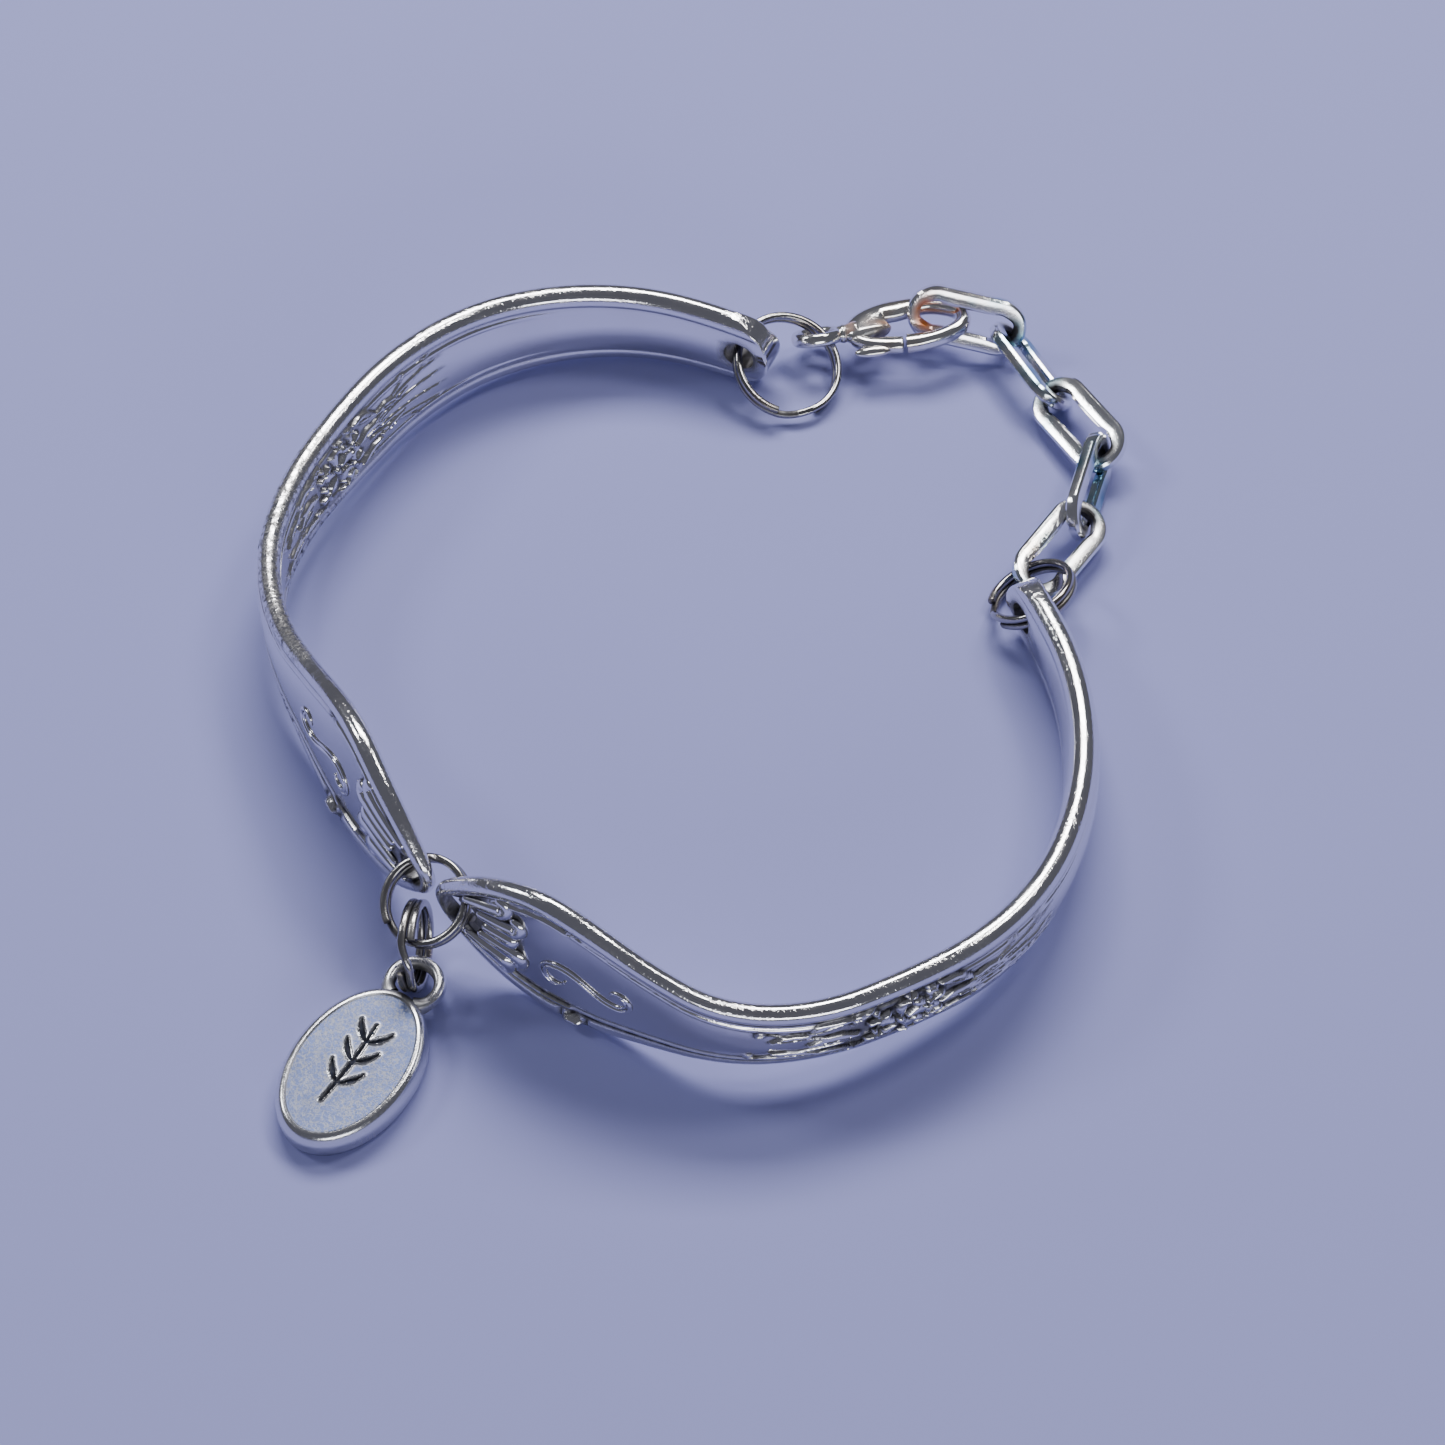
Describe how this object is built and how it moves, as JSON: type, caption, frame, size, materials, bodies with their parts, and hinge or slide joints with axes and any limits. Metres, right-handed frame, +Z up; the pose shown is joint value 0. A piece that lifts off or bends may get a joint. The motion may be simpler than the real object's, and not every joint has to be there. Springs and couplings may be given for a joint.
{
  "type": "spoon handle bracelet",
  "caption": "Silver bracelet of ornamented spoon handles bent round a wrist hollow, joined by split rings, an oval charm, a lobster clasp and flat oval links.",
  "frame": {"origin": "on the surface that the bracelet lies on, under the middle of the whole bracelet", "axes": "+Z up, along the wrist hollow; +Y from the wide tips towards the clasp; +X from the left handle to the right handle"},
  "size_m": [0.0634, 0.0719, 0.013],
  "materials": {
    "handle_silver": "polished silver plate, fine scratches, dark patina in the recesses of the ornament",
    "ring_steel": "bright drawn wire, dark between the two turns",
    "charm_pewter": "finely scratched satin faces, polished bevelled rim, dark recesses",
    "link_steel": "bright plated, faceted edges, slight blue and amber tarnish",
    "clasp_steel": "bright plated, slight amber tarnish in the slots"
  },
  "bodies": {
    "bracelet": {"handle_left": "handle_silver", "handle_right": "handle_silver", "tip_ring": "ring_steel", "charm_ring": "ring_steel", "charm": "charm_pewter", "clasp_ring": "ring_steel", "chain_ring": "ring_steel", "clasp_body": "clasp_steel", "link_1": "link_steel", "link_2": "link_steel", "link_3": "link_steel", "link_4": "link_steel", "link_5": "link_steel"},
    "lever": {"clasp_lever": "clasp_steel"}
  },
  "joints": [
    {"name": "lever_hinge", "type": "hinge", "parent": "bracelet", "child": "lever", "pos_m": [0.01234, 0.03178, 0.00266], "axis": [-0.1074, 0.0825, 0.9908], "range_deg": [0, 22], "stiffness_Nm_per_rad": 0.002, "springref_deg": -17.19}
  ]
}
